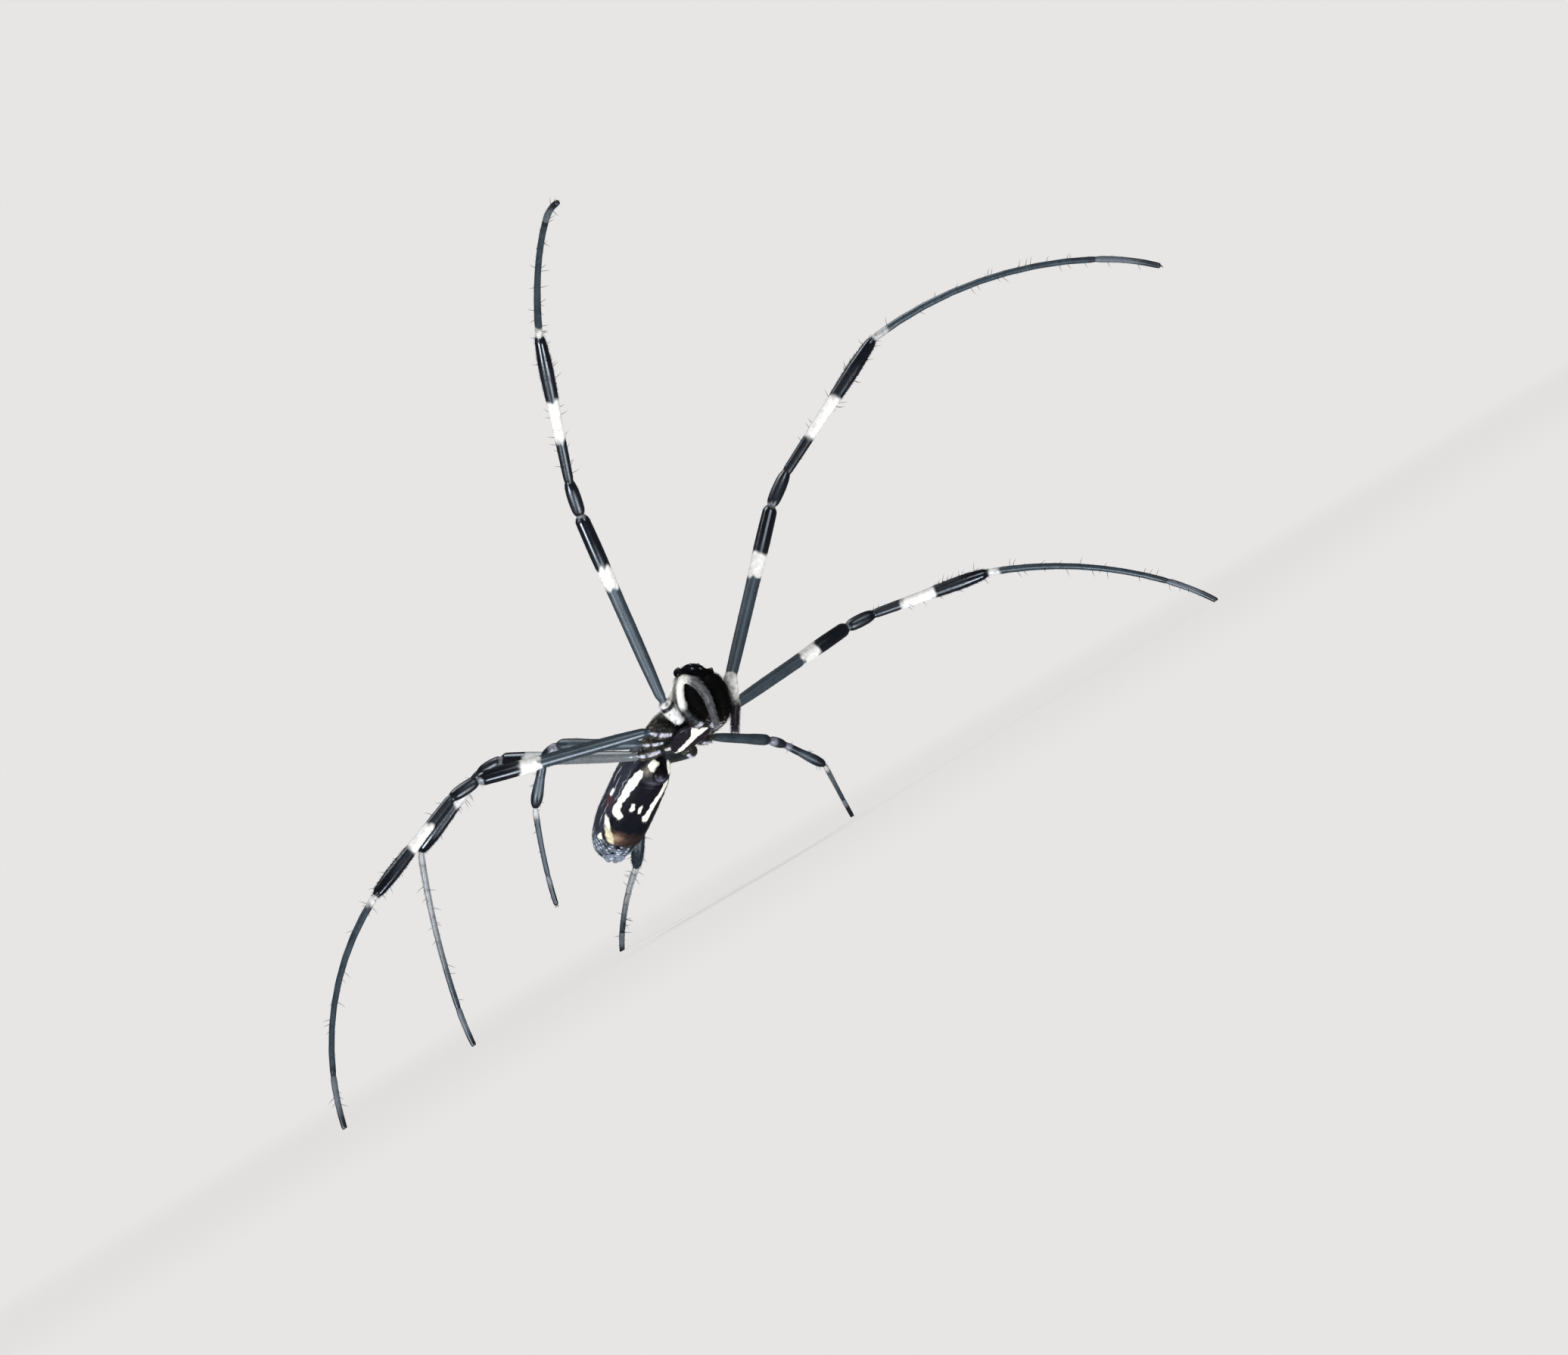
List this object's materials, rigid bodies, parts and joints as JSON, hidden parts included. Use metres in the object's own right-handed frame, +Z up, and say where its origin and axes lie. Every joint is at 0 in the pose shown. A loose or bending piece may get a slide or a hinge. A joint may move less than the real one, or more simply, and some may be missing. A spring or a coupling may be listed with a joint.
{
  "type": "golden silk orb weaver spider",
  "caption": "Life-size still model of a female golden silk orb weaver, legs spread as on its web, standing on its feet.",
  "frame": {"origin": "on the floor, under the middle of the whole animal's box", "axes": "+Z up; +X to the right across the longest reach of the legs, as the picture's camera sees it; +Y away from that camera"},
  "size_m": [0.1006, 0.0824, 0.058],
  "materials": {
    "carapace": "short pale hairs over dark cuticle",
    "breastplate": "glossy purple-black with a cream stripe",
    "abdomen": "satin purple-black with cream bands",
    "spinneret_cuticle": "satin blue-grey, mottled",
    "black_cuticle": "glossy black",
    "palp_cuticle": "pale, finely haired",
    "eye": "glossy black",
    "coxa_cuticle": "glossy dark and cream",
    "femur_cuticle": "satin slate with a white band and black tip",
    "banded_tibia": "black with a white band and short bristles",
    "slate_cuticle": "satin blue-grey with fine hairs"
  },
  "bodies": {
    "root": {"prosoma": "carapace", "sternum": "breastplate", "abdomen": "abdomen", "spinnerets": "spinneret_cuticle", "chelicera_left": "black_cuticle", "chelicera_right": "black_cuticle", "palp_left": "palp_cuticle", "palp_right": "palp_cuticle", "eyes_median": "eye", "eyes_lateral_left": "eye", "eyes_lateral_right": "eye", "r1_coxa": "coxa_cuticle", "r1_femur": "femur_cuticle", "r1_patella": "black_cuticle", "r1_tibia": "banded_tibia", "r1_metatarsus": "slate_cuticle", "r1_tarsus": "slate_cuticle", "r2_coxa": "coxa_cuticle", "r2_femur": "femur_cuticle", "r2_patella": "black_cuticle", "r2_tibia": "banded_tibia", "r2_metatarsus": "slate_cuticle", "r2_tarsus": "slate_cuticle", "r3_coxa": "coxa_cuticle", "r3_femur": "femur_cuticle", "r3_patella": "black_cuticle", "r3_tibia": "banded_tibia", "r3_metatarsus": "slate_cuticle", "r3_tarsus": "slate_cuticle", "r4_coxa": "coxa_cuticle", "r4_femur": "femur_cuticle", "r4_patella": "black_cuticle", "r4_tibia": "banded_tibia", "r4_metatarsus": "slate_cuticle", "r4_tarsus": "slate_cuticle", "l1_coxa": "coxa_cuticle", "l1_femur": "femur_cuticle", "l1_patella": "black_cuticle", "l1_tibia": "banded_tibia", "l1_metatarsus": "slate_cuticle", "l1_tarsus": "slate_cuticle", "l2_coxa": "coxa_cuticle", "l2_femur": "femur_cuticle", "l2_patella": "black_cuticle", "l2_tibia": "banded_tibia", "l2_metatarsus": "slate_cuticle", "l2_tarsus": "slate_cuticle", "l3_coxa": "coxa_cuticle", "l3_femur": "femur_cuticle", "l3_patella": "black_cuticle", "l3_tibia": "banded_tibia", "l3_metatarsus": "slate_cuticle", "l3_tarsus": "slate_cuticle", "l4_coxa": "coxa_cuticle", "l4_femur": "femur_cuticle", "l4_patella": "black_cuticle", "l4_tibia": "banded_tibia", "l4_metatarsus": "slate_cuticle", "l4_tarsus": "slate_cuticle"}
  },
  "joints": []
}
